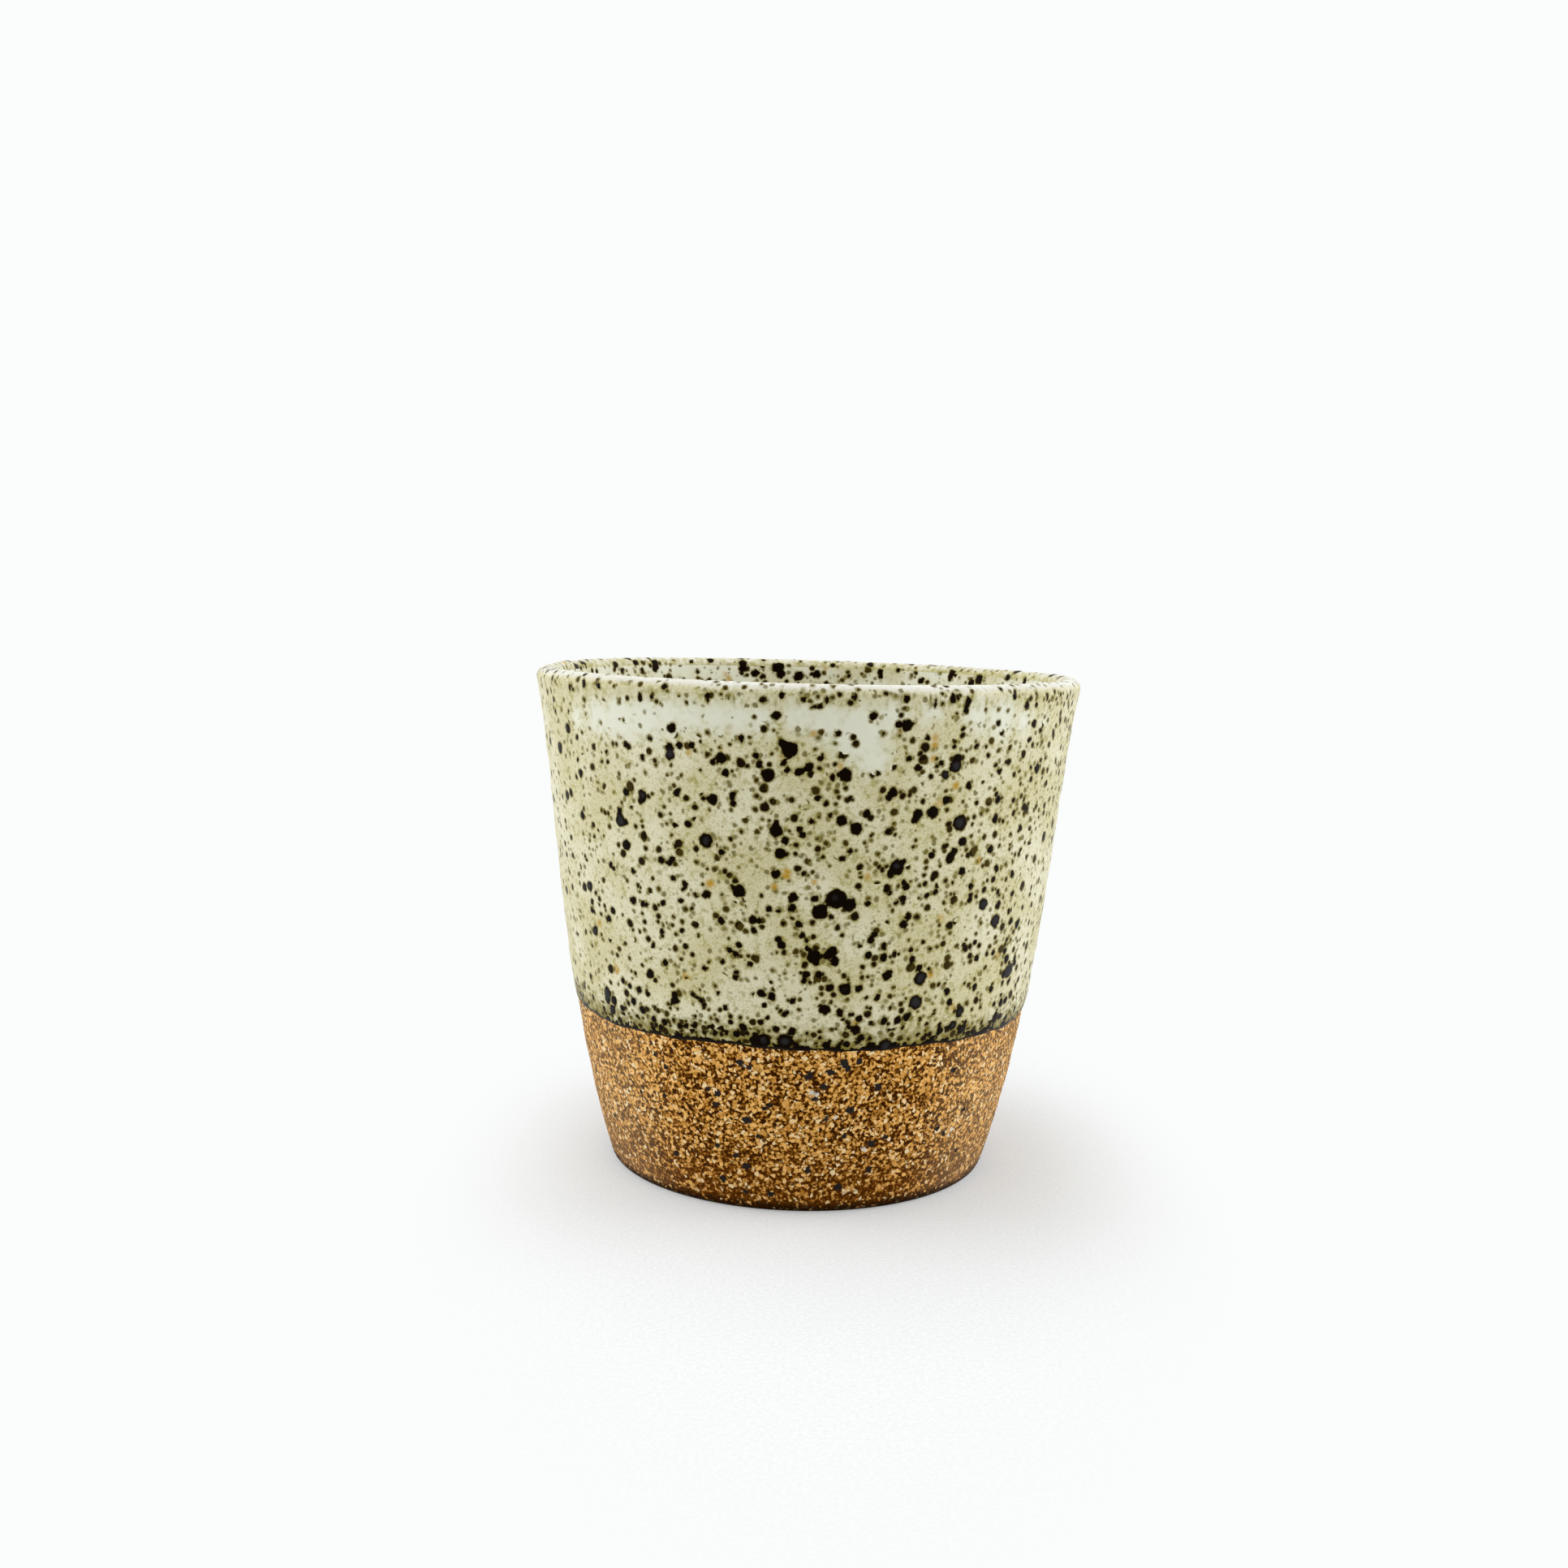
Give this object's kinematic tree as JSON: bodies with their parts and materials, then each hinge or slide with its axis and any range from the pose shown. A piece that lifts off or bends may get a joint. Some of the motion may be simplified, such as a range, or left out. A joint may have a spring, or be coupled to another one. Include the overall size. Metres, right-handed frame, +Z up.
{
  "type": "cup",
  "caption": "Soba choko dipping-sauce cup: a handleless tapering stoneware cup with a rounded lip, speckled cream glaze inside and out, and a bare gritty clay foot.",
  "frame": {"origin": "centre of the foot's standing face", "axes": "+Z up along the axis that the cup was turned about, towards the lip; the pictured side faces -Y"},
  "size_m": [0.082, 0.082, 0.075],
  "materials": {
    "bare_clay": "unglazed gritty stoneware, sandy tan to brown",
    "dipped_glaze": "satin cream glaze with dark iron specks that gather at its lower line",
    "poured_glaze": "satin cream glaze with dark iron specks"
  },
  "bodies": {
    "root": {"stoneware_body": "bare_clay", "outer_glaze": "dipped_glaze", "liner_glaze": "poured_glaze"}
  },
  "joints": []
}
